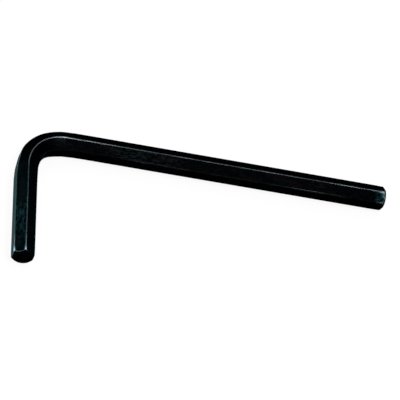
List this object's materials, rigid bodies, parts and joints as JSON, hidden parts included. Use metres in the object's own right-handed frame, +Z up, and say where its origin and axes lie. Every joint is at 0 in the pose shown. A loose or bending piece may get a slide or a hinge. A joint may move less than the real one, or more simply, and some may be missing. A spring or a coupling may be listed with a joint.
{
  "type": "hex key",
  "caption": "L-shaped hexagonal bar with a long arm and a short arm joined by a rounded right-angle bend, both tips chamfered, for turning socket screws.",
  "frame": {"origin": "under the middle of the bounding box, on the surface that the key lies on", "axes": "+X along the long arm toward its tip, the short arm pointing along -Y, +Z up, square to the plane of the bend"},
  "size_m": [0.071, 0.0286, 0.0046],
  "materials": {
    "black_oxide_steel": "black oxide, lightly oiled satin"
  },
  "bodies": {
    "root": {"hex_key": "black_oxide_steel"}
  },
  "joints": []
}
